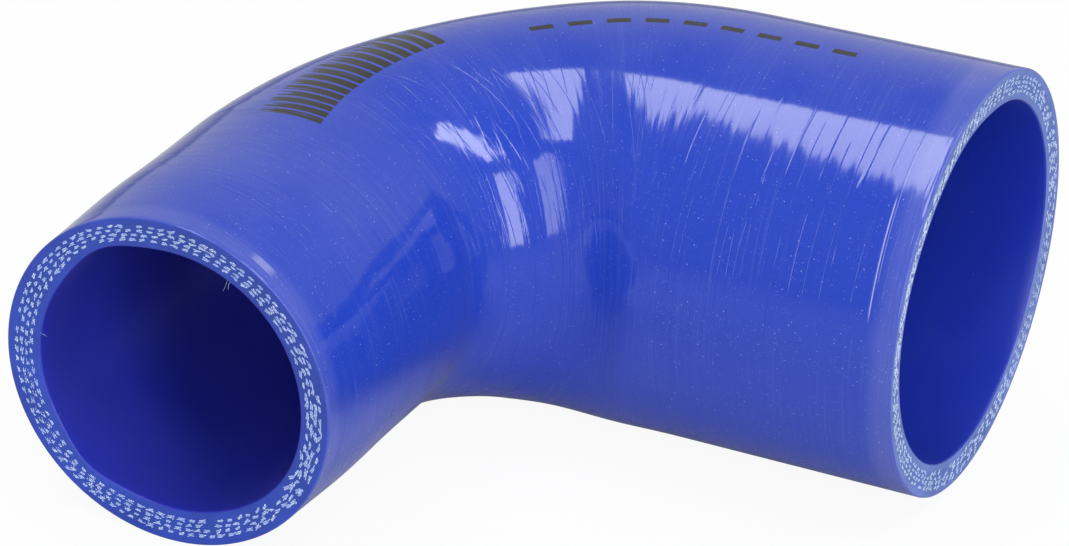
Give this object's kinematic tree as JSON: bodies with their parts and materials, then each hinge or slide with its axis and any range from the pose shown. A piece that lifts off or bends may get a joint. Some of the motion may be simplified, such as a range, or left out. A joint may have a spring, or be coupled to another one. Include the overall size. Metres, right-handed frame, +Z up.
{
  "type": "silicone elbow hose",
  "caption": "Blue reinforced silicone hose bent through a right angle, widening from a smaller bore to a larger one, with plain cut ends.",
  "frame": {"origin": "below the middle of the hose's bounding box, on the surface that the hose lies on", "axes": "+Z up, with the hose lying on its side as it comes to rest; +X along the large leg, towards the large end; -Y along the small leg, towards the small end"},
  "size_m": [0.1474, 0.1486, 0.0847],
  "materials": {
    "silicone": "glossy blue silicone rubber"
  },
  "bodies": {
    "root": {"elbow_hose": "silicone"}
  },
  "joints": []
}
